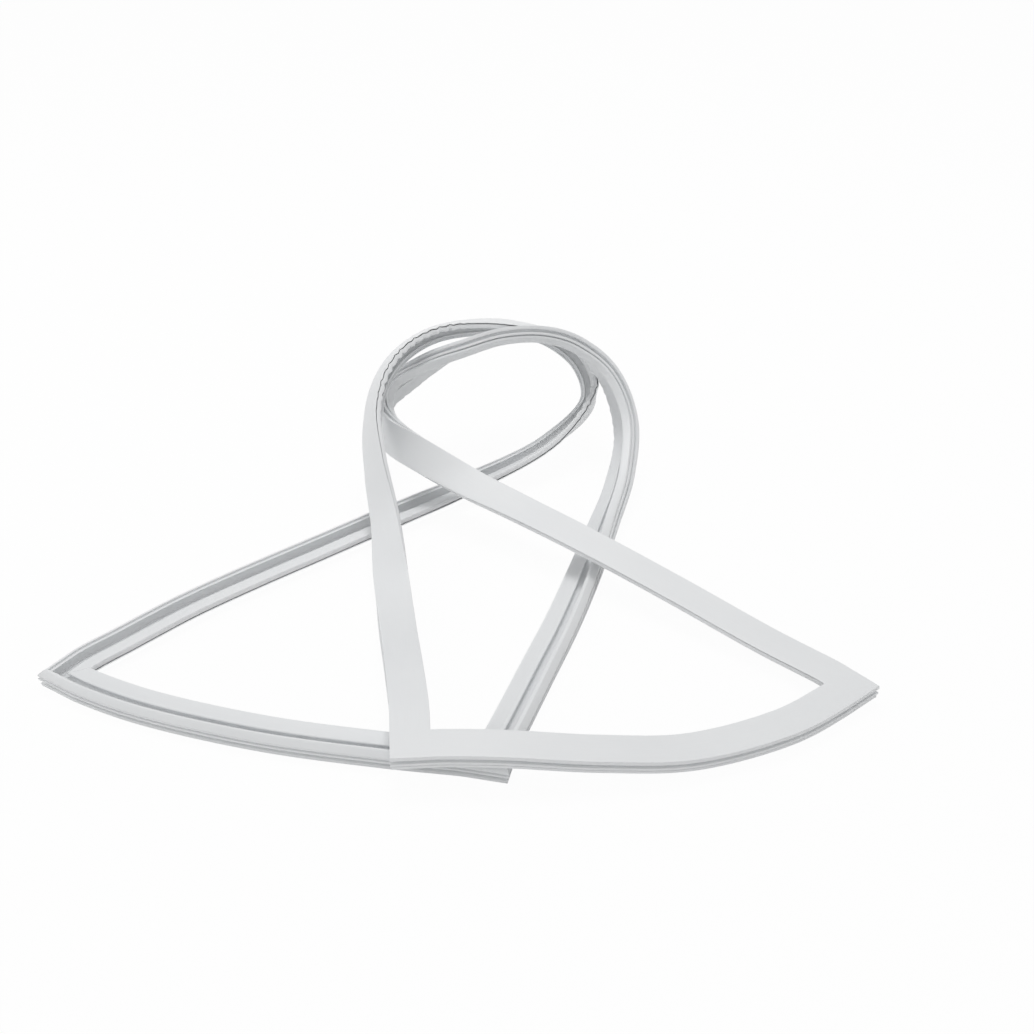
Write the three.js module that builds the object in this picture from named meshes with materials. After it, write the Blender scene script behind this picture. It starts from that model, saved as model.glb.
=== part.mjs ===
// Magnetic door gasket of a tall refrigerator, folded in half for shipping and lying on a table.
// Four lengths of one soft PVC extrusion are welded at mitred corners into a ring. A flexible magnet
// strip lies in the pocket behind the sealing face of each length.
// Units are millimetres, +Z is up, and the table is at z = 0. The viewer stands on the -Y side.

import * as THREE from "three";

// Extrusion
const FACE_WIDTH = 40; // sealing face, from the outer edge of the frame to the tip of the thin fin
const DEPTH = 21; // from the sealing face to the ridge on the back
const FIN = 1.1; // thin fin that carries the face inwards
const PLATE = 4.8; // thick outer part of the face, which holds the magnet pocket
const WALL = 1.2; // other walls
const EDGE = 0.6; // small chamfers on the extruded edges

// Bellows and back
const FOLD_INSET = 6; // how far in the folds between the three outer edges reach
const MIDDLE_EDGE_TOP = 8.4; // depth of the middle outer edge, top and bottom
const MIDDLE_EDGE_BOTTOM = 10.8;
const BACK_EDGE_TOP = 12.6; // depth of the back outer edge, top and bottom
const BACK_EDGE_BOTTOM = 15.2;
const BACK_EDGE_INSET = 1.4; // the back edge stands this far inside the face's edge
const RIDGE_INSET = 10.5; // middle of the ridge, from the outer edge
const RIDGE_WIDTH = 2.6;
const CHAMBER_WIDTH = 9.8; // deep channel between the bellows and the inner lip
const LIP_DEPTH = 9; // back surface of the inner lip at the channel, and at its tip
const LIP_TIP_DEPTH = 7.4;
const LIP_TIP_INSET = 0.6; // the inner lip ends this far short of the fin

// Magnet strips
const MAGNET_WIDTH = 10;
const MAGNET_THICKNESS = 2;
const MAGNET_CLEARANCE = 0.3; // all round, in the pocket
const MAGNET_END_GAP = 6; // from the end of the strip to the inner corner of the weld

// How the folded gasket lies
const REST_GAP = 0.5; // between a strip and the one that it lies on
const ON_TABLE = DEPTH / 2; // height of the middle of the section
const ON_STRIP = ON_TABLE + DEPTH + REST_GAP;

// Mesh
const STEP_LENGTH = 64; // a section at least every so many millimetres
const STEP_TURN = 17; // and at least every so many degrees of bend and twist together
const CORNER_CLEAR = 7; // from the inner corner of a mitre to the first section beyond it

// Corners in the order of the ring: where the middle of the section passes, the way in which the next
// side leaves (degrees from +X, seen from above), and the roll, which is the angle by which the sealing
// face has turned from facing down, through facing out of the loop, to facing up.
const CORNERS = {
  left: { at: [-474, -317, ON_TABLE], leaves: -34, roll: 0 },
  front: { at: [-22, -451, ON_TABLE], leaves: 77, roll: 0 },
  right: { at: [345, -346, ON_TABLE], leaves: 221, roll: 180 },
  middle: { at: [-103, -460, ON_STRIP], leaves: 94, roll: 180 },
};

// Sides in the order of the ring. The rows between two corners are x, y, z of the middle of the section
// and the roll there.
const SIDES = [
  {
    name: "lower_short",
    from: "left",
    to: "front",
    route: [
      [-381, -367, ON_TABLE, 0],
      [-254, -408, ON_TABLE, 0],
      [-128, -433, ON_TABLE, 0],
    ],
  },
  {
    name: "front_long",
    from: "front",
    to: "right",
    route: [
      [-6, -383, ON_TABLE, 0],
      [17, -310, ON_TABLE, 0],
      [43, -233, ON_TABLE, 0],
      [72, -136, 12, 3],
      [99, -40, 18.5, 20],
      [122, 45, 32, 32],
      [131, 118, 61, 55],
      [114, 155, 101, 92],
      [79, 172, 136, 133],
      [35, 175, 156, 150],
      [-18, 172, 155, 149],
      [-68, 163, 139, 137],
      [-116, 152, 115, 110],
      [-150, 134, 95, 88],
      [-160, 108, 86, 85],
      [-150, 70, 81, 104],
      [-115, 35, 67, 134],
      [-59, -5, 48, 158],
      [2, -54, 42, 170],
      [76, -115, 37, 174],
      [173, -190, 23, 177],
      [267, -271, 12.5, 179],
    ],
  },
  {
    name: "upper_short",
    from: "right",
    to: "middle",
    route: [
      [271, -402, ON_TABLE, 180],
      [171, -443, 13, 180],
      [80, -456, 23, 180],
      [-16, -459, ON_STRIP, 180],
    ],
  },
  {
    name: "back_long",
    from: "middle",
    to: "left",
    route: [
      [-108, -401, ON_STRIP, 178],
      [-118, -331, 28, 173],
      [-130, -248, 18, 172],
      [-140, -158, 14, 190],
      [-150, -74, 39, 226],
      [-164, -10, 75, 246],
      [-171, 47, 106, 256],
      [-164, 93, 132, 251],
      [-141, 136, 148, 241],
      [-100, 176, 153, 233],
      [-49, 200, 148, 225],
      [-3, 214, 138, 222],
      [41, 221, 125, 232],
      [78, 212, 103, 255],
      [92, 180, 73, 286],
      [42, 120, 40, 321],
      [-58, 52, 19, 340],
      [-158, -19, 12, 357],
      [-230, -75, ON_TABLE, 360],
      [-302, -135, ON_TABLE, 360],
      [-366, -194, ON_TABLE, 360],
      [-423, -255, ON_TABLE, 360],
    ],
  },
];

// The section as a closed outline. u runs from the outer edge of the frame inwards, and v from the
// sealing face to the back. The magnet pocket is open to the channel by a slit along its inner end.
function extrusionOutline() {
  const pocketEnd = WALL + MAGNET_WIDTH + 2 * MAGNET_CLEARANCE;
  const pocketTop = FIN;
  const pocketBottom = pocketTop + MAGNET_THICKNESS + 2 * MAGNET_CLEARANCE;
  const slit = 1;
  const foldWall = FOLD_INSET + 2 * WALL;
  const ridgeStart = RIDGE_INSET - RIDGE_WIDTH / 2;
  const ridgeEnd = RIDGE_INSET + RIDGE_WIDTH / 2;
  const lipStart = foldWall + CHAMBER_WIDTH;
  const lipTip = FACE_WIDTH - LIP_TIP_INSET;
  return [
    [EDGE, 0],
    [0, EDGE],
    [0, PLATE - EDGE],
    [EDGE, PLATE],
    [FOLD_INSET, (PLATE + MIDDLE_EDGE_TOP) / 2],
    [EDGE / 2, MIDDLE_EDGE_TOP],
    [EDGE / 2, MIDDLE_EDGE_BOTTOM],
    [FOLD_INSET, (MIDDLE_EDGE_BOTTOM + BACK_EDGE_TOP) / 2],
    [BACK_EDGE_INSET, BACK_EDGE_TOP],
    [BACK_EDGE_INSET, BACK_EDGE_BOTTOM],
    [ridgeStart, DEPTH - EDGE / 2],
    [ridgeStart + EDGE, DEPTH],
    [ridgeEnd - EDGE, DEPTH],
    [ridgeEnd, DEPTH - EDGE / 2],
    [ridgeEnd, BACK_EDGE_BOTTOM],
    [foldWall, (MIDDLE_EDGE_BOTTOM + BACK_EDGE_TOP) / 2 + WALL],
    [foldWall, PLATE],
    [pocketEnd - slit, PLATE],
    [pocketEnd - slit, pocketBottom],
    [WALL, pocketBottom],
    [WALL, pocketTop],
    [pocketEnd, pocketTop],
    [pocketEnd, PLATE],
    [pocketEnd + WALL, PLATE],
    [pocketEnd + WALL, 2 * FIN],
    [lipStart, 2 * FIN],
    [lipStart, LIP_DEPTH],
    [lipStart + EDGE, LIP_DEPTH + EDGE],
    [lipStart + 4 * EDGE, LIP_DEPTH],
    [lipTip - EDGE, LIP_TIP_DEPTH],
    [lipTip, LIP_TIP_DEPTH - EDGE],
    [lipTip, LIP_TIP_DEPTH - WALL - EDGE],
    [lipStart + WALL, LIP_DEPTH - 2 * WALL],
    [lipStart + WALL, 3 * FIN],
    [lipStart + 3 * WALL, 1.5 * FIN],
    [FACE_WIDTH, FIN],
    [FACE_WIDTH, 0],
    [lipStart, 0],
    [pocketEnd, 0],
    [WALL, 0],
  ].map(([u, v]) => new THREE.Vector2(u - FACE_WIDTH / 2, DEPTH / 2 - v));
}

// The magnet strip's outline, in the middle of its pocket.
function magnetOutline() {
  const u = WALL + MAGNET_CLEARANCE - FACE_WIDTH / 2;
  const v = DEPTH / 2 - FIN - MAGNET_CLEARANCE;
  return [
    new THREE.Vector2(u, v),
    new THREE.Vector2(u, v - MAGNET_THICKNESS),
    new THREE.Vector2(u + MAGNET_WIDTH, v - MAGNET_THICKNESS),
    new THREE.Vector2(u + MAGNET_WIDTH, v),
  ];
}

const heading = (degrees) => {
  const a = THREE.MathUtils.degToRad(degrees);
  return new THREE.Vector3(Math.cos(a), Math.sin(a), 0);
};

// A place along the strip: the middle of the section, the way along the strip, the way from the outer
// edge to the fin (across), and the way that the sealing face looks.
function station(middle, along, rollDegrees) {
  const out = new THREE.Vector3().crossVectors(along, new THREE.Vector3(0, 0, 1)).normalize();
  const up = new THREE.Vector3().crossVectors(out, along).normalize();
  const roll = THREE.MathUtils.degToRad(rollDegrees);
  const face = out.multiplyScalar(Math.sin(roll)).addScaledVector(up, -Math.cos(roll));
  const across = new THREE.Vector3().crossVectors(along, face).normalize();
  return { middle, along, face, across };
}

// The four corners, each with the stations of the side that arrives and of the side that leaves.
const turnOf = (corner) => (corner.roll === 180 ? -90 : 90);
const corners = Object.fromEntries(
  Object.entries(CORNERS).map(([name, corner]) => {
    const middle = new THREE.Vector3(...corner.at);
    const arriving = station(middle, heading(corner.leaves - turnOf(corner)), corner.roll);
    const leaving = station(middle, heading(corner.leaves), corner.roll);
    return [name, { arriving, leaving }];
  }),
);

// The smooth middle line of a side, with the roll carried along it in the same way.
function sideLine(side) {
  const start = CORNERS[side.from];
  const end = CORNERS[side.to];
  const startRoll = start.roll;
  const endRoll = side.name === "back_long" ? 360 : end.roll;
  const leg = FACE_WIDTH / 2 + CORNER_CLEAR;
  const startLeg = corners[side.from].leaving.middle
    .clone()
    .addScaledVector(corners[side.from].leaving.along, leg);
  const endLeg = corners[side.to].arriving.middle
    .clone()
    .addScaledVector(corners[side.to].arriving.along, -leg);
  const rows = [
    [...start.at, startRoll],
    [...startLeg.toArray(), startRoll],
    ...side.route,
    [...endLeg.toArray(), endRoll],
    [...end.at, endRoll],
  ];
  const line = new THREE.CatmullRomCurve3(rows.map(([x, y, z]) => new THREE.Vector3(x, y, z)));
  const rolls = new THREE.CatmullRomCurve3(rows.map(([x, y, z, roll]) => new THREE.Vector3(roll, 0, 0)), false, "catmullrom", 0.5);
  return { line, rolls, legs: rows.length - 1 };
}

// Stations along a side, closer together where it bends or twists. They start and end where the inner
// corner of each mitre is passed, and none of them reaches below the table.
function sideStations(side) {
  const { line, rolls, legs } = sideLine(side);
  const samples = 60 * legs;
  const first = 1 / legs;
  const places = [];
  for (let i = 0; i <= samples; i++) {
    const t = first + ((1 - 2 * first) * i) / samples;
    const at = station(line.getPoint(t), line.getTangent(t), rolls.getPoint(t).x);
    const below = (Math.abs(at.across.z) * FACE_WIDTH + Math.abs(at.face.z) * DEPTH) / 2 - at.middle.z;
    at.middle.z += Math.max(below, 0);
    places.push(at);
  }
  const cost = [0];
  for (let i = 1; i <= samples; i++) {
    const a = places[i - 1];
    const b = places[i];
    const length = a.middle.distanceTo(b.middle);
    const turn = Math.max(a.along.angleTo(b.along), a.face.angleTo(b.face), a.across.angleTo(b.across));
    cost.push(cost[i - 1] + length / STEP_LENGTH + THREE.MathUtils.radToDeg(turn) / STEP_TURN);
  }
  const steps = Math.ceil(cost[samples]);
  const chosen = [];
  for (let k = 0; k <= steps; k++) {
    const wanted = (cost[samples] * k) / steps;
    const i = cost.findIndex((c) => c >= wanted - 1e-9);
    chosen.push(places[i]);
  }
  return chosen;
}

const place = (at, point) =>
  at.middle.clone().addScaledVector(at.across, point.x).addScaledVector(at.face, point.y);

// The outline on the plane in which two sides meet at a weld.
function mitreRing(corner, outline) {
  const { arriving, leaving } = corner;
  const share = 1 / (1 + arriving.across.dot(leaving.across));
  return outline.map((point) =>
    arriving.middle
      .clone()
      .addScaledVector(arriving.across, point.x * share)
      .addScaledVector(leaving.across, point.x * share)
      .addScaledVector(arriving.face, point.y),
  );
}

// Triangles between rings of points, closed on itself or capped at both ends. Each four-sided patch is
// split from its lower u or v at the first ring to its higher one at the second, so that the two sides of
// a thin wall, and a strip and its pocket, warp alike where the extrusion is twisted.
function skin(rings, outline, closed) {
  const count = outline.length;
  const positions = rings.flat().flatMap((p) => p.toArray());
  const index = [];
  const bands = closed ? rings.length : rings.length - 1;
  for (let r = 0; r < bands; r++) {
    const a = r * count;
    const b = ((r + 1) % rings.length) * count;
    for (let i = 0; i < count; i++) {
      const j = (i + 1) % count;
      const step = outline[j].clone().sub(outline[i]);
      if (Math.abs(step.x) >= Math.abs(step.y) ? step.x > 0 : step.y < 0) index.push(a + i, b + i, b + j, a + i, b + j, a + j);
      else index.push(a + i, b + i, a + j, b + i, b + j, a + j);
    }
  }
  if (!closed) {
    const last = (rings.length - 1) * count;
    for (const [p, q, s] of THREE.ShapeUtils.triangulateShape(outline, [])) {
      index.push(p, q, s);
      index.push(last + p, last + s, last + q);
    }
  }
  const geometry = new THREE.BufferGeometry();
  geometry.setAttribute("position", new THREE.Float32BufferAttribute(positions, 3));
  geometry.setIndex(index);
  geometry.computeVertexNormals();
  return geometry;
}

const white = new THREE.MeshStandardMaterial({ color: 0xe3e6e8, roughness: 0.45, metalness: 0 });
const ferrite = new THREE.MeshStandardMaterial({ color: 0x3a3533, roughness: 0.8, metalness: 0 });

const gasket = new THREE.Group();
const stationsOf = new Map(SIDES.map((side) => [side.name, sideStations(side)]));

// The welded ring of PVC
function gasketFrame() {
  const outline = extrusionOutline();
  const rings = SIDES.flatMap((side) => [
    mitreRing(corners[side.from], outline),
    ...stationsOf.get(side.name).map((at) => outline.map((point) => place(at, point))),
  ]);
  const mesh = new THREE.Mesh(skin(rings, outline, true), white);
  mesh.name = "gasket_frame";
  return mesh;
}
gasket.add(gasketFrame());

// The magnet strip of one side
function magnetStrip(side) {
  const outline = magnetOutline();
  const at = stationsOf.get(side.name);
  const shift = CORNER_CLEAR - MAGNET_END_GAP;
  const ends = [at[0], at[at.length - 1]];
  const rings = at.map((s) => outline.map((point) => place(s, point)));
  rings[0].forEach((p) => p.addScaledVector(ends[0].along, -shift));
  rings[rings.length - 1].forEach((p) => p.addScaledVector(ends[1].along, shift));
  const mesh = new THREE.Mesh(skin(rings, outline, false), ferrite);
  mesh.name = "magnet_strip_" + side.name;
  return mesh;
}
SIDES.forEach((side) => gasket.add(magnetStrip(side)));

// The origin is the middle of the bounding box, on the table.
const box = new THREE.Box3().setFromObject(gasket);
gasket.position.set(-(box.min.x + box.max.x) / 2, -(box.min.y + box.max.y) / 2, -box.min.z);

export default gasket;
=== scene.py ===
import math

import bmesh
import bpy
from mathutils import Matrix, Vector, noise


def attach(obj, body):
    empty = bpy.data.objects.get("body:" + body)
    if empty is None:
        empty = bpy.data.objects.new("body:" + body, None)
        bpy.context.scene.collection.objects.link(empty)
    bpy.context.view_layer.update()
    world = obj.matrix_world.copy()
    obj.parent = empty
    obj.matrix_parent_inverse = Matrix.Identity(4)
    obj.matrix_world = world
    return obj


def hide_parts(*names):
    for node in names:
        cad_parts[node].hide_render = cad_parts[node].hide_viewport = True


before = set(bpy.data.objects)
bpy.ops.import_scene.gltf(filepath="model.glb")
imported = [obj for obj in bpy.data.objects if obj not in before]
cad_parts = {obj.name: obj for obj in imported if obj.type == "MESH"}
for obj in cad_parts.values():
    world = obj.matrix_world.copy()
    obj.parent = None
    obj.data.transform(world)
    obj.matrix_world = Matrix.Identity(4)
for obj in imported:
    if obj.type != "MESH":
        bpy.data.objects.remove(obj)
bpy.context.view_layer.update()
MM = 0.001


# The gasket frame. Four lengths of one soft white PVC extrusion are welded end to end at mitred corners
# into a ring, which is folded in half. The left half lies back up and leans on the outer edge of its
# face, the right half lies face up, and the long sides turn over where the fold stands up as a loop.
FACE_WIDTH = 40
DEPTH = 21
REST_GAP = 0.5
LEAN = -14
LEANING = FACE_WIDTH / 2 * math.sin(math.radians(-LEAN)) + DEPTH / 2 * math.cos(math.radians(LEAN))
ON_TABLE = DEPTH / 2
ON_STRIP = DEPTH + REST_GAP + DEPTH / 2
ORIGIN = Vector((64.275, 120.044, 0))

# Middle of the section at each corner, the way the next side leaves in degrees from +X, and the roll:
# 0 with the sealing face down, 90 with it turned to the right of that way, 180 with it up
CORNERS = {
    "left": ((-474, -317, LEANING), -34, LEAN),
    "front": ((-22, -451, LEANING), 77, LEAN),
    "right": ((345, -345, ON_TABLE), 221, 180),
    "middle": ((-103, -461, ON_STRIP), 94, 180),
}
LOWER_SHORT = [
    (-381, -367, LEANING, LEAN),
    (-254, -408, LEANING, LEAN),
    (-128, -433, LEANING, LEAN),
]
FRONT_LONG = [
    (-2, -383, LEANING, LEAN),
    (22, -310, 14.5, -13),
    (47, -233, 13, -9),
    (74, -136, 12.5, 1),
    (99, -40, 18.5, 19),
    (122, 45, 32, 32),
    (131, 118, 61, 55),
    (114, 155, 101, 92),
    (79, 172, 136, 133),
    (35, 173, 157, 150),
    (-18, 169.5, 156.5, 149),
    (-68, 161.5, 140, 137),
    (-117, 153, 116, 110),
    (-153, 136, 95, 88),
    (-161, 109, 82, 85),
    (-151, 69, 77, 104),
    (-118, 35, 67, 134),
    (-59, -5, 48, 158),
    (2, -54, 42, 170),
    (76, -115, 37, 174),
    (173, -190, 23, 177),
    (267, -271, 12.5, 179),
]
UPPER_SHORT = [
    (271, -402, ON_TABLE, 180),
    (171, -443, 13, 180),
    (80, -457, 23, 180),
    (-16, -460, ON_STRIP, 180),
]
BACK_LONG = [
    (-108, -401, ON_STRIP, 178),
    (-118, -331, 28, 173),
    (-130, -248, 18, 172),
    (-140, -158, 14, 190),
    (-148, -74, 39, 222),
    (-161, -10, 75, 238),
    (-168, 47, 106, 243),
    (-161, 93, 133, 233),
    (-139, 136, 150, 220),
    (-99, 177, 156, 207),
    (-48, 203, 151, 198),
    (-3, 217.5, 141, 196),
    (41, 223, 127, 207),
    (78, 212, 103, 237),
    (92, 180, 73, 278),
    (42, 118, 40, 317),
    (-58, 48, 21, 336),
    (-158, -25, 16, 345),
    (-230, -83, LEANING, 360 + LEAN),
    (-302, -142, LEANING, 360 + LEAN),
    (-366, -198, LEANING, 360 + LEAN),
    (-423, -257, LEANING, 360 + LEAN),
]
SIDES = [
    ("left", "front", LOWER_SHORT, LEAN),
    ("front", "right", FRONT_LONG, 180),
    ("right", "middle", UPPER_SHORT, 180),
    ("middle", "left", BACK_LONG, 360 + LEAN),
]

# The section: u from the outer edge inwards, v from the sealing face to the back
SECTION = [
    (0.5, 0),
    (0.12, 0.14),
    (0, 0.5),
    (0, 3.9),
    (0.15, 4.3),
    (0.6, 4.5),
    (5.6, 4.9),
    (6.0, 5.3),
    (6.0, 7.3),
    (5.6, 7.7),
    (0.7, 8.15),
    (0.35, 8.4),
    (0.3, 8.8),
    (0.3, 10.6),
    (0.4, 11.0),
    (0.8, 11.1),
    (6.0, 11.5),
    (6.3, 11.75),
    (6.0, 12.0),
    (1.9, 12.5),
    (1.5, 12.7),
    (1.4, 13.1),
    (1.4, 15.0),
    (1.6, 15.5),
    (2.4, 16.3),
    (4.4, 18.0),
    (6.4, 19.5),
    (7.8, 20.5),
    (8.5, 20.9),
    (9.4, 21),
    (10.2, 20.8),
    (10.6, 20.3),
    (10.4, 19.3),
    (9.7, 18.4),
    (9.7, 17.7),
    (10.6, 17.1),
    (12.2, 16.4),
    (12.7, 15.8),
    (12.3, 15.1),
    (9.6, 14.2),
    (8.8, 13.4),
    (8.5, 12.6),
    (8.5, 5.4),
    (8.7, 4.9),
    (9.2, 4.8),
    (10.8, 4.8),
    (10.8, 3.7),
    (1.2, 3.7),
    (1.2, 1.1),
    (11.8, 1.1),
    (11.8, 4.8),
    (12.7, 4.8),
    (13.0, 4.5),
    (13.2, 3.4),
    (13.9, 2.5),
    (15.2, 2.2),
    (18.4, 2.2),
    (21.2, 2.5),
    (22.4, 3.2),
    (22.8, 4.2),
    (22.7, 6.2),
    (22.3, 6.6),
    (21.5, 6.9),
    (21.2, 7.4),
    (21.5, 8.2),
    (22.2, 8.6),
    (23.0, 8.6),
    (23.9, 8.2),
    (26, 8.05),
    (29, 7.9),
    (32, 7.75),
    (36, 7.55),
    (38.3, 7.4),
    (39.1, 7.1),
    (39.4, 6.5),
    (39.4, 2.5),
    (39.2, 2.1),
    (38.7, 2.0),
    (38.3, 2.2),
    (38.2, 2.6),
    (38.1, 5.6),
    (37.7, 6.0),
    (36, 6.15),
    (32, 6.3),
    (28, 6.5),
    (25.6, 6.6),
    (24.4, 6.4),
    (24.0, 6.0),
    (23.9, 5.4),
    (23.8, 3.9),
    (23.4, 2.9),
    (22.8, 2.2),
    (24, 1.6),
    (28, 1.3),
    (32, 1.15),
    (36, 1.0),
    (39.6, 0.95),
    (40, 0.6),
    (39.8, 0.1),
    (39.4, 0),
    (36, 0),
    (32, 0),
    (28, 0),
    (24, 0),
    (20, 0),
    (16, 0),
    (11.8, 0),
    (6, 0),
    (1.4, 0),
]
LIP_ROOT = 22
FIN_DEPTH = 2.3  # the fin and the tip of the lip's turned edge lie within it
MAGNET = [(1.5, 1.4), (11.5, 1.4), (11.5, 3.4), (1.5, 3.4)]
MAGNET_REACH = 1  # beyond the first and last station of its side

# The ridge gives a little where the strip lies back up, from its foot to its top
SPRING = 1.5
RIDGE_FOOT = 13

# The free edges of the lip and the fin ripple in the bends, and most on the back long side
SCALLOP_LENGTH = 13
SCALLOP_WANDER = 1.3  # how far the ripple's phase strays, over SCALLOP_DRIFT
SCALLOP_DRIFT = 60
SCALLOP_LIMIT = 2.2
SCALLOP_PER_BEND = 500
GENTLE_BEND = 0.003
CALM = 0.3  # share of the ripple on the other sides
FIN_SHARE = 0.45

# Stations along a side, and rings from its mitre to its first station
SPACING = 5
SAMPLES_PER_LEG = 80
MITRE_REACH = FACE_WIDTH / 2 + 7
MITRE_STEPS = (0, 0.015, 0.03, 0.08, 0.2, 0.4, 0.6, 0.8)
BEND_REACH = 2  # stations either way between which a bend is measured
BEND_SPREAD = 4  # stations either way over which it is evened out
FLASH = 0.25  # how far the weld stands proud, from FLASH_DEPTH behind the sealing face
FLASH_DEPTH = 2
UP = Vector((0, 0, 1))


class Station:
    """A place along a side: the middle of the section, the way the side runs there, the ways across
    and out of its face, the length travelled from the first station, and the roll."""

    def __init__(self, middle, along, across, face, travelled, roll):
        self.middle = middle
        self.along = along
        self.across = across
        self.face = face
        self.travelled = travelled
        self.roll = roll


def heading(degrees):
    a = math.radians(degrees)
    return Vector((math.cos(a), math.sin(a), 0))


def arrives(corner):
    """The way in which the side before a corner comes in."""
    _, leaves, roll = CORNERS[corner]
    return leaves + 90 if roll == 180 else leaves - 90


def section_axes(along, roll):
    """The ways across the face, from the outer edge to the fin, and out of the sealing face."""
    out = along.cross(UP).normalized()
    up = out.cross(along).normalized()
    a = math.radians(roll)
    face = out * math.sin(a) - up * math.cos(a)
    return along.cross(face).normalized(), face


def in_place(middle, across, face, section):
    """The points of a section where it belongs."""
    return [middle + across * (u - FACE_WIDTH / 2) + face * (DEPTH / 2 - v) for u, v in section]


def shaped(roll, wave=0):
    """The section as it is at this roll, with its lip and fin moved by this much at their edges."""
    give = SPRING * (1 + math.cos(math.radians(roll))) / 2
    section = []
    for u, v in SECTION:
        free = max(0, (u - LIP_ROOT) / (FACE_WIDTH - LIP_ROOT)) ** 1.5
        squashed = give * max(0, (v - RIDGE_FOOT) / (DEPTH - RIDGE_FOOT))
        section.append((u, v - squashed + wave * free * (1 if v > FIN_DEPTH else FIN_SHARE)))
    return section


def through(points, t, even):
    """A point and the slope at t on the smooth line through the points."""
    i = min(int(t), len(points) - 2)
    w = t - i
    b, c = points[i], points[i + 1]
    a = points[i - 1] if i else b * 2 - c
    d = points[i + 2] if i + 2 < len(points) else c * 2 - b
    if even:
        m0, m1 = (c - a) / 2, (d - b) / 2
    else:
        ab, bc, cd = ((q - p).length ** 0.5 for p, q in ((a, b), (b, c), (c, d)))
        m0 = ((b - a) / ab - (c - a) / (ab + bc) + (c - b) / bc) * bc
        m1 = ((c - b) / bc - (d - b) / (bc + cd) + (d - c) / cd) * bc
    value = (
        b * (2 * w**3 - 3 * w**2 + 1)
        + m0 * (w**3 - 2 * w**2 + w)
        + c * (3 * w**2 - 2 * w**3)
        + m1 * (w**3 - w**2)
    )
    slope = (
        b * (6 * w**2 - 6 * w)
        + m0 * (3 * w**2 - 4 * w + 1)
        + c * (6 * w - 6 * w**2)
        + m1 * (3 * w**2 - 2 * w)
    )
    return value, slope


def smooth_line(start, end, route, end_roll):
    """Close samples of a side between the inner corners of its mitres: middle, along and roll."""
    at0, leaves, roll0 = CORNERS[start]
    at1 = CORNERS[end][0]
    first = Vector(at0) + heading(leaves) * MITRE_REACH
    last = Vector(at1) - heading(arrives(end)) * MITRE_REACH
    points = [Vector(at0), first] + [Vector(row[:3]) for row in route] + [last, Vector(at1)]
    rolls = [roll0, roll0] + [row[3] for row in route] + [end_roll, end_roll]
    rolls = [Vector((roll, 0, 0)) for roll in rolls]
    legs = len(points) - 1
    samples = SAMPLES_PER_LEG * legs
    line = []
    for k in range(samples + 1):
        t = 1 + (legs - 2) * k / samples
        middle, slope = through(points, t, False)
        roll, _ = through(rolls, t, True)
        line.append((middle, slope.normalized(), roll.x))
    return line


def side_stations(line):
    """Evenly spaced stations along a side, with none of the section below the table."""
    lengths = [0]
    for p, q in zip(line, line[1:]):
        lengths.append(lengths[-1] + (q[0] - p[0]).length)
    count = round(lengths[-1] / SPACING)
    last = len(line) - 1
    stations = []
    k = 0
    for n in range(count + 1):
        want = lengths[-1] * n / count
        while k < last and lengths[k + 1] < want:
            k += 1
        if n == count:
            k = last
        middle, along, roll = line[k]
        across, face = section_axes(along, roll)
        low = min(p.z for p in in_place(middle, across, face, shaped(roll)))
        stations.append(Station(middle - UP * min(low, 0), along, across, face, lengths[k], roll))
    return stations


def mitre(corner, flash):
    """The section on the upright plane in which two sides meet, swollen by the flash of the weld."""
    at, leaves, roll = CORNERS[corner]
    at = Vector(at)
    across, face = section_axes(heading(arrives(corner)), roll)
    out0, out1 = (heading(a).cross(UP) for a in (arrives(corner), leaves))
    joint = (out0 + out1) / (1 + out0.dot(out1))
    section = shaped(roll)
    swollen = list(section)
    for k, (u, v) in enumerate(section):
        (u0, v0), (u1, v1) = swollen[k - 1], swollen[(k + 1) % len(section)]
        proud = flash * min(v / FLASH_DEPTH, 1) / math.hypot(u1 - u0, v1 - v0)
        swollen[k] = (u - (v1 - v0) * proud, v + (u1 - u0) * proud)
    offsets = [p - at for p in in_place(at, across, face, swollen)]
    return [at + joint * q.dot(out0) + UP * max(q.z, -at.z) for q in offsets]


def rippled(stations, travelled, share):
    """The section at each station of a side, with its free edges rippled where the side bends."""
    bends = []
    for n in range(len(stations)):
        before = stations[max(n - BEND_REACH, 0)]
        after = stations[min(n + BEND_REACH, len(stations) - 1)]
        reach = max(after.travelled - before.travelled, 1)
        bends.append((after.along - before.along).length / reach)
    rings = []
    for n, at in enumerate(stations):
        near = bends[max(n - BEND_SPREAD, 0) : n + BEND_SPREAD + 1]
        bend = sum(near) / len(near)
        amount = share * min(max(bend - GENTLE_BEND, 0) * SCALLOP_PER_BEND, SCALLOP_LIMIT)
        drift = noise.noise(Vector((at.travelled / SCALLOP_DRIFT, travelled, 0)))
        phase = 2 * math.pi * (travelled + at.travelled) / SCALLOP_LENGTH + SCALLOP_WANDER * drift
        section = shaped(at.roll, amount * math.sin(phase))
        rings.append(in_place(at.middle, at.across, at.face, section))
    return rings


def drawn_out(vert, made):
    """The new vertex that an extrusion drew out of this one."""
    return next(e.other_vert(vert) for e in vert.link_edges if e.other_vert(vert) in made)


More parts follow.
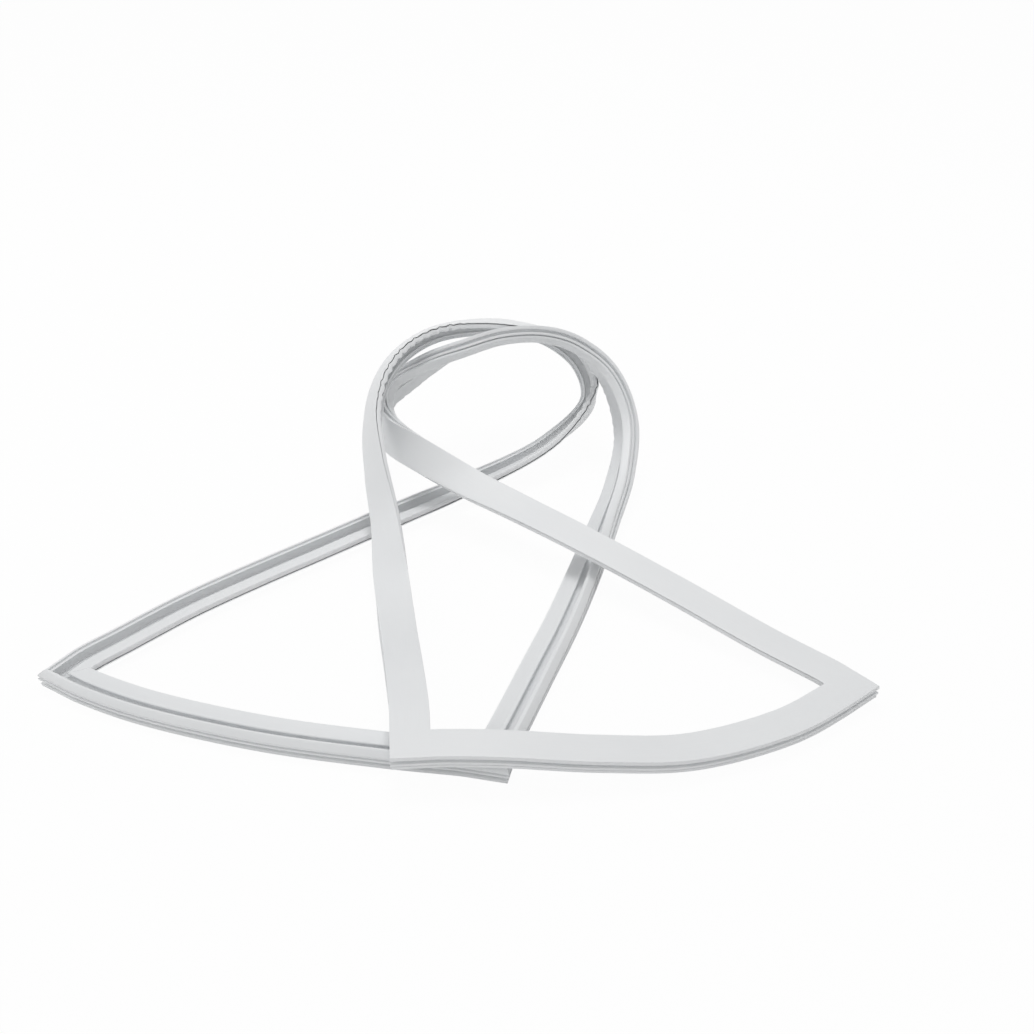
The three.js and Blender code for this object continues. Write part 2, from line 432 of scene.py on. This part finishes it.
rings = []
distances = []
every_station = []
travelled = 0
for start, end, route, end_roll in SIDES:
    stations = side_stations(smooth_line(start, end, route, end_roll))
    length = stations[-1].travelled
    body = rippled(stations, travelled, 1 if start == "middle" else CALM)
    first, last = mitre(start, 0), mitre(end, 0)
    opening = [[p.lerp(q, t) for p, q in zip(first, body[0])] for t in MITRE_STEPS]
    opening[0] = mitre(start, FLASH)
    steps_back = MITRE_STEPS[:0:-1]
    closing = [[p.lerp(q, t) for p, q in zip(last, body[-1])] for t in steps_back]
    rings += opening + body + closing
    distances += [travelled + MITRE_REACH * t for t in MITRE_STEPS]
    distances += [travelled + MITRE_REACH + at.travelled for at in stations]
    distances += [travelled + MITRE_REACH + length + MITRE_REACH * (1 - t) for t in steps_back]
    travelled += 2 * MITRE_REACH + length
    every_station.append(stations)

perimeter = [0]
for (u0, v0), (u1, v1) in zip(SECTION, SECTION[1:] + SECTION[:1]):
    perimeter.append(perimeter[-1] + math.hypot(u1 - u0, v1 - v0))

bm = bmesh.new()
count = len(SECTION)
verts = [bm.verts.new((p + ORIGIN) * MM) for p in rings[0]]
edges = [bm.edges.new((verts[i], verts[(i + 1) % count])) for i in range(count)]
first_edges = list(edges)
uv = bm.loops.layers.uv.new("strip")
for r in range(1, len(rings)):
    made = bmesh.ops.extrude_edge_only(bm, edges=edges)["geom"]
    new_verts = {v for v in made if isinstance(v, bmesh.types.BMVert)}
    next_verts = [drawn_out(v, new_verts) for v in verts]
    for v, p in zip(next_verts, rings[r]):
        v.co = (p + ORIGIN) * MM
    edges = [bm.edges.get((next_verts[i], next_verts[(i + 1) % count])) for i in range(count)]
    for i, e in enumerate(edges):
        j = (i + 1) % count
        unrolled = {
            verts[i]: (perimeter[i], distances[r - 1]),
            verts[j]: (perimeter[i + 1], distances[r - 1]),
            next_verts[i]: (perimeter[i], distances[r]),
            next_verts[j]: (perimeter[i + 1], distances[r]),
        }
        for loop in e.link_faces[0].loops:
            loop[uv].uv = [x * MM for x in unrolled[loop.vert]]
    verts = next_verts
bmesh.ops.bridge_loops(bm, edges=edges + first_edges)
bmesh.ops.recalc_face_normals(bm, faces=bm.faces[:])
SHARP = math.radians(38)
for f in bm.faces:
    f.smooth = True
for e in bm.edges:
    if e.calc_face_angle(0) > SHARP:
        e.smooth = False
mesh = bpy.data.meshes.new("gasket")
bm.to_mesh(mesh)
bm.free()
gasket = bpy.data.objects.new("gasket", mesh)
bpy.context.scene.collection.objects.link(gasket)
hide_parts("gasket_frame")
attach(gasket, "root")


class Value:
    """A socket of a material, with arithmetic that adds its Math nodes."""

    def __init__(self, tree, socket):
        self.tree = tree
        self.socket = socket

    @classmethod
    def node(cls, tree, kind, out=0, settings=None, **inputs):
        made = tree.nodes.new(kind)
        for key, value in (settings or {}).items():
            setattr(made, key, value)
        for key, value in inputs.items():
            name = key.replace("_", " ")
            target = made.inputs[int(key[1:])] if key[0] == "i" and key[1:].isdigit() else made.inputs[name]
            if isinstance(value, Value):
                tree.links.new(value.socket, target)
            else:
                target.default_value = value
        return cls(tree, made.outputs[out])

    def math(self, operation, other=0.0, swap=False):
        a, b = (other, self) if swap else (self, other)
        return Value.node(self.tree, "ShaderNodeMath", settings={"operation": operation}, i0=a, i1=b)

    def __add__(self, other):
        return self.math("ADD", other)

    __radd__ = __add__

    def __mul__(self, other):
        return self.math("MULTIPLY", other)

    __rmul__ = __mul__

    def __sub__(self, other):
        return self.math("SUBTRACT", other)

    def __rsub__(self, other):
        return self.math("SUBTRACT", other, swap=True)


def mixed(tree, factor, a, b):
    """Colour a where factor is 0 and colour b where it is 1."""
    return Value.node(tree, "ShaderNodeMix", out=2, settings={"data_type": "RGBA"}, i0=factor, i6=a, i7=b)


pvc = bpy.data.materials.new("soft white PVC")
pvc.use_nodes = True
tree = pvc.node_tree
shader = tree.nodes["Principled BSDF"]
strip = Value.node(tree, "ShaderNodeUVMap", settings={"uv_map": "strip"})
stretch = Value.node(tree, "ShaderNodeMapping", i0=strip, i3=(1, 0.02, 1))
lines = Value.node(tree, "ShaderNodeTexNoise", Vector=stretch, Scale=900.0, Detail=3.0, Roughness=0.6)
place = Value.node(tree, "ShaderNodeTexCoord", out=3)
cloud = Value.node(tree, "ShaderNodeTexNoise", Vector=place, Scale=9.0, Detail=4.0, Roughness=0.55)
grain = Value.node(tree, "ShaderNodeTexNoise", Vector=place, Scale=2600.0, Detail=2.0, Roughness=0.5)
tone = mixed(tree, cloud, (0.80, 0.815, 0.83, 1), (0.86, 0.87, 0.875, 1))
tone = mixed(tree, (lines - 0.5) * 0.5, tone, (0.72, 0.735, 0.75, 1))
tree.links.new(tone.socket, shader.inputs["Base Color"])
rough = 0.34 + cloud * 0.16 + lines * 0.06
tree.links.new(rough.socket, shader.inputs["Roughness"])
relief = lines * 0.7 + grain * 0.3
bump = Value.node(tree, "ShaderNodeBump", Strength=0.12, Distance=0.0002, Height=relief)
tree.links.new(bump.socket, shader.inputs["Normal"])
shader.inputs["IOR"].default_value = 1.53
shader.inputs["Subsurface Weight"].default_value = 0.08
shader.inputs["Subsurface Radius"].default_value = (0.003, 0.003, 0.003)
gasket.data.materials.append(pvc)


# The magnet strips. Ferrite powder in rubber, extruded as a flat dark strip and slid into the pocket
# behind the sealing face of each side before the corners are welded. Nothing of them shows outside.
ferrite = bpy.data.materials.new("ferrite strip")
ferrite.use_nodes = True
tree = ferrite.node_tree
shader = tree.nodes["Principled BSDF"]
place = Value.node(tree, "ShaderNodeTexCoord", out=3)
powder = Value.node(tree, "ShaderNodeTexNoise", Vector=place, Scale=1800.0, Detail=4.0)
tone = mixed(tree, powder, (0.028, 0.024, 0.022, 1), (0.06, 0.052, 0.048, 1))
tree.links.new(tone.socket, shader.inputs["Base Color"])
tree.links.new((0.62 + powder * 0.2).socket, shader.inputs["Roughness"])
for name, stations in zip(("lower_short", "front_long", "upper_short", "back_long"), every_station):
    bm = bmesh.new()
    loops = []
    for n, at in enumerate(stations):
        push = {0: -MAGNET_REACH, len(stations) - 1: MAGNET_REACH}.get(n, 0)
        points = in_place(at.middle + at.along * push, at.across, at.face, MAGNET)
        loops.append([bm.verts.new((p + ORIGIN) * MM) for p in points])
    for a, b in zip(loops, loops[1:]):
        for k in range(4):
            bm.faces.new((a[k - 1], a[k], b[k], b[k - 1]))
    bm.faces.new(loops[0])
    bm.faces.new(loops[-1])
    bmesh.ops.recalc_face_normals(bm, faces=bm.faces[:])
    mesh = bpy.data.meshes.new("magnet_" + name)
    bm.to_mesh(mesh)
    bm.free()
    mesh.materials.append(ferrite)
    magnet = bpy.data.objects.new("magnet_" + name, mesh)
    bpy.context.scene.collection.objects.link(magnet)
    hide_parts("magnet_strip_" + name)
    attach(magnet, "root")


# The table and the white surroundings.
bm = bmesh.new()
bmesh.ops.create_grid(bm, x_segments=1, y_segments=1, size=6)
mesh = bpy.data.meshes.new("table")
bm.to_mesh(mesh)
bm.free()
table = bpy.data.objects.new("table", mesh)
bpy.context.scene.collection.objects.link(table)
CLEAR_OF_GASKET = 0.0003
table.location.z = -CLEAR_OF_GASKET
paper = bpy.data.materials.new("white table")
paper.use_nodes = True
tree = paper.node_tree
shader = tree.nodes["Principled BSDF"]
shader.inputs["Base Color"].default_value = (0.9, 0.9, 0.9, 1)
shader.inputs["Roughness"].default_value = 0.9
glow = Value.node(tree, "ShaderNodeEmission", Strength=1.0)
seen = Value.node(tree, "ShaderNodeLightPath", out="Is Camera Ray")
mirrored = Value.node(tree, "ShaderNodeLightPath", out="Is Glossy Ray")
PAPER_GLOW = 0.96
share = (seen + mirrored) * PAPER_GLOW
lit = Value(tree, shader.outputs["BSDF"])
surface = Value.node(tree, "ShaderNodeMixShader", i0=share, i1=lit, i2=glow)
tree.links.new(surface.socket, tree.nodes["Material Output"].inputs["Surface"])
table.data.materials.append(paper)

world = bpy.data.worlds.new("studio")
bpy.context.scene.world = world
world.use_nodes = True
tree = world.node_tree
background = tree.nodes["Background"]
background.inputs["Color"].default_value = (1, 1, 1, 1)
seen = Value.node(tree, "ShaderNodeLightPath", out="Is Camera Ray")
mirrored = Value.node(tree, "ShaderNodeLightPath", out="Is Glossy Ray")
WORLD = 0.5
strength = WORLD + (seen + mirrored).math("MINIMUM", 1.0) * (1 - WORLD)
tree.links.new(strength.socket, background.inputs["Strength"])


def softbox(name, place, target, size, power):
    lamp = bpy.data.lights.new(name, "AREA")
    lamp.shape = "SQUARE"
    lamp.size = size
    lamp.energy = power
    made = bpy.data.objects.new(name, lamp)
    bpy.context.scene.collection.objects.link(made)
    made.location = place
    made.rotation_mode = "QUATERNION"
    made.rotation_quaternion = (Vector(target) - Vector(place)).to_track_quat("-Z", "Y")


softbox("softbox_above", (0.1, 0.7, 2.4), (0, 0, 0), 1.0, 20)
softbox("softbox_front", (-0.6, -2.5, 1.1), (0, 0, 0), 1.2, 6)
softbox("softbox_left", (-2.1, 0.3, 1.2), (0, 0, 0), 0.9, 6)


# The camera, at the photograph's height and distance.
camera = bpy.data.objects.new("camera", bpy.data.cameras.new("camera"))
bpy.context.scene.collection.objects.link(camera)
bpy.context.scene.camera = camera
DISTANCE = 1994.4
ELEVATION = math.radians(33.46)
VIEW_WIDTH = math.radians(34.9)
target = ORIGIN * MM
camera.location = target + Vector((0, -math.cos(ELEVATION), math.sin(ELEVATION))) * DISTANCE * MM
camera.rotation_mode = "QUATERNION"
camera.rotation_quaternion = (target - camera.location).to_track_quat("-Z", "Y")
camera.data.sensor_width = 36
camera.data.lens = camera.data.sensor_width / 2 / math.tan(VIEW_WIDTH / 2)
camera.data.clip_start = 0.05
camera.data.clip_end = 50

bpy.context.scene.view_settings.view_transform = "Standard"
